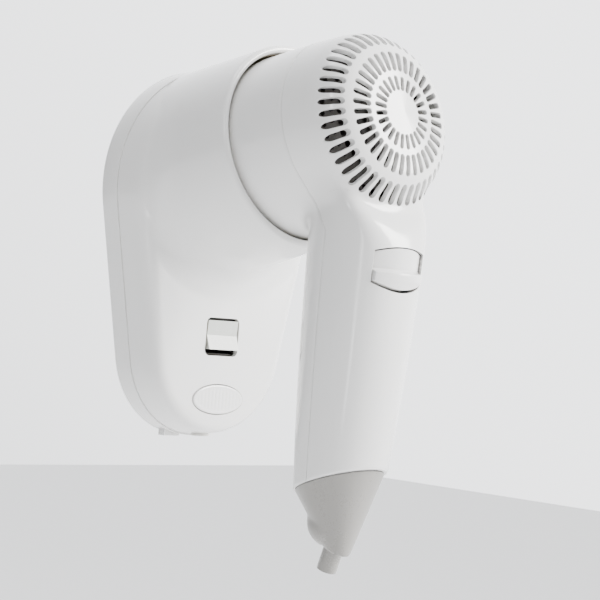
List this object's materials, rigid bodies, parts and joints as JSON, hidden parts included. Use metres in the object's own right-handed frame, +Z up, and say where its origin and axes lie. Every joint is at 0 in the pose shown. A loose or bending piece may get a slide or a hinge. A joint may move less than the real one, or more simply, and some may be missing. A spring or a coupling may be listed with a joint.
{
  "type": "wall-mounted hair dryer",
  "caption": "Wall-mounted hair dryer: teardrop wall unit with a tilted cup that holds a pistol-shaped hand unit with a slotted dome, rocker switches and a swivel cord outlet.",
  "frame": {"origin": "centre of the four wall screw holes, on the wall plane at the back of the back plate", "axes": "+Z up, -Y out of the wall towards the room, +X to the right seen from the room"},
  "size_m": [0.1094, 0.137, 0.2294],
  "materials": {
    "white_gloss": "glossy moulded white",
    "grey_plastic": "satin moulded grey",
    "dark_plastic": "black moulded",
    "liner_plastic": "heat-proof moulded",
    "steel": "zinc-plated",
    "mica": "pressed mica sheet",
    "heater_wire": "resistance wire",
    "board": "circuit board",
    "rubber": "moulded rubber"
  },
  "bodies": {
    "root": {"back_plate": "white_gloss", "front_cover": "white_gloss", "cup_liner": "liner_plastic", "main_switch_body": "dark_plastic", "oval_cap": "white_gloss", "cover_screw": "steel", "terminal_block": "liner_plastic", "terminal_screws": "steel", "mains_cable_clamp": "liner_plastic", "clamp_screws": "steel", "park_microswitch": "dark_plastic", "base_cord_grommet": "rubber"},
    "main_rocker": {"main_rocker": "white_gloss"},
    "park_plunger": {"park_plunger": "liner_plastic"},
    "hand_unit": {"front_housing": "white_gloss", "rear_housing": "white_gloss", "outlet_grille": "dark_plastic", "heater_tube": "mica", "heater_former": "mica", "heater_coil": "heater_wire", "thermostat": "steel", "fan_duct": "liner_plastic", "motor_can": "steel", "rectifier_board": "board", "intake_screen": "steel", "hand_switch_body": "dark_plastic", "handle_screws": "steel", "cord_clamp": "liner_plastic", "handle_cap": "grey_plastic", "swivel_pin": "steel"},
    "fan": {"motor_shaft": "steel", "impeller": "liner_plastic"},
    "hand_rocker": {"hand_rocker": "white_gloss"},
    "cord_swivel": {"cord_swivel": "grey_plastic"}
  },
  "joints": [
    {"name": "hand_slide", "type": "slide", "parent": "root", "child": "hand_unit", "axis": [0, -0.9744, 0.225], "range_m": [0, 0.09]},
    {"name": "main_rocker_tip", "type": "hinge", "parent": "root", "child": "main_rocker", "pos_m": [0, -0.021, -0.0408], "axis": [1, 0, 0], "range_deg": [0, 16]},
    {"name": "park_plunger_slide", "type": "slide", "parent": "root", "child": "park_plunger", "axis": [0, -0.9744, 0.225], "range_m": [0, 0.0035]},
    {"name": "fan_spin", "type": "hinge", "parent": "hand_unit", "child": "fan", "pos_m": [0, -0.10523, 0.05429], "axis": [0, -0.9744, 0.225], "continuous": true},
    {"name": "hand_rocker_tip", "type": "hinge", "parent": "hand_unit", "child": "hand_rocker", "pos_m": [0, -0.1284, -0.0063], "axis": [1, 0, 0], "range_deg": [0, 8]},
    {"name": "cord_swivel_tip", "type": "hinge", "parent": "hand_unit", "child": "cord_swivel", "pos_m": [0, -0.1086, -0.1205], "axis": [1, 0, 0], "range_deg": [-6, 70]}
  ],
  "couplings": [
    {"joint": "park_plunger_slide", "follows": "hand_slide", "ratio": 0.038889}
  ]
}
